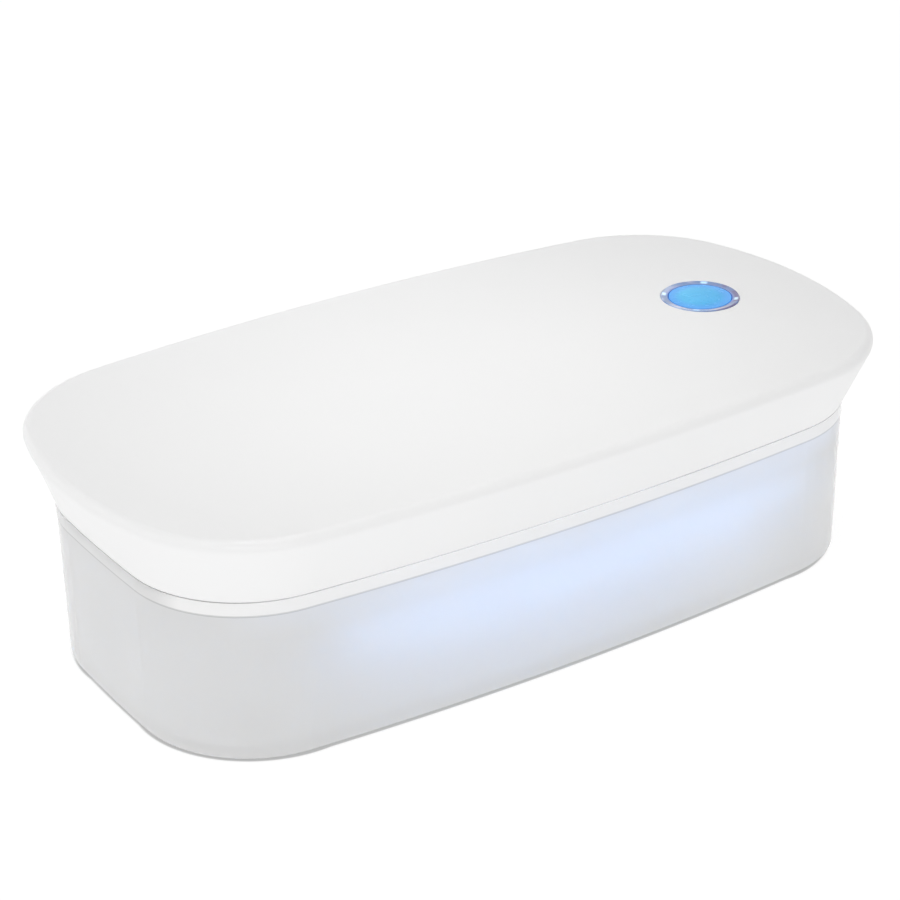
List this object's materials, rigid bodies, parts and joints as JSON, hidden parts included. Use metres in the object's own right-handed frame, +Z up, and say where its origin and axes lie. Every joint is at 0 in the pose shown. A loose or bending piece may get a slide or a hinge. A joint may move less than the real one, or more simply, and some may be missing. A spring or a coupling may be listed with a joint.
{
  "type": "uv disinfection box",
  "caption": "Tabletop UV disinfection box with a frosted tub, a lift-off white lid that holds the lamps and battery, and a round lit push button.",
  "frame": {"origin": "on the table under the middle of the box", "axes": "+X along the length towards the button end, -Y towards the long side seen in the picture, +Z up"},
  "size_m": [0.215, 0.1136, 0.0611],
  "materials": {
    "frosted_tub": "frosted translucent",
    "foot_rubber": "matte",
    "magnet_plate": "nickel plated",
    "tub_plug": "matte",
    "white_shell": "satin",
    "white_panel": "matte",
    "silicone": "matte",
    "quartz": "polished",
    "polished_sheet": "polished",
    "lamp_board": "white coated",
    "lamp_body": "lit",
    "circuit_board": "coated",
    "black_component": "matte",
    "indicator": "lit",
    "clear_ring": "polished",
    "battery_pouch": "foil",
    "foam": "foam",
    "steel": "plated",
    "header_plastic": "matte",
    "lead_sleeve": "matte",
    "azure_button": "polished",
    "plunger_plastic": "matte"
  },
  "bodies": {
    "box": {"box_body": "frosted_tub", "foot_front_left": "foot_rubber", "foot_front_right": "foot_rubber", "foot_rear_left": "foot_rubber", "foot_rear_right": "foot_rubber", "lid_magnet": "magnet_plate", "magnet_cap": "tub_plug"},
    "lid": {"lid_shell": "white_shell", "lid_panel": "white_panel", "lid_seal": "silicone", "window_gasket": "silicone", "ring_gasket": "silicone", "uv_window": "quartz", "reflector": "polished_sheet", "uv_board": "lamp_board", "uv_leds": "lamp_body", "control_board": "circuit_board", "charging_board": "circuit_board", "board_chips": "black_component", "switch_body": "black_component", "hall_sensor": "black_component", "indicator_leds": "indicator", "light_ring": "clear_ring", "battery": "battery_pouch", "battery_pad": "foam", "charging_socket": "steel", "board_screws": "steel", "lid_screws": "steel", "wire_headers": "header_plastic", "battery_lead": "lead_sleeve", "charging_lead": "lead_sleeve", "uv_lead": "lead_sleeve"},
    "button": {"button_cap": "azure_button", "switch_plunger": "plunger_plastic"}
  },
  "joints": [
    {"name": "lid_lift", "type": "slide", "parent": "box", "child": "lid", "axis": [0, 0, 1], "range_m": [0, 0.06]},
    {"name": "button_press", "type": "slide", "parent": "lid", "child": "button", "axis": [0, 0, -1], "range_m": [0, 0.0005], "stiffness_N_per_m": 3000, "springref_m": -0.0002}
  ]
}
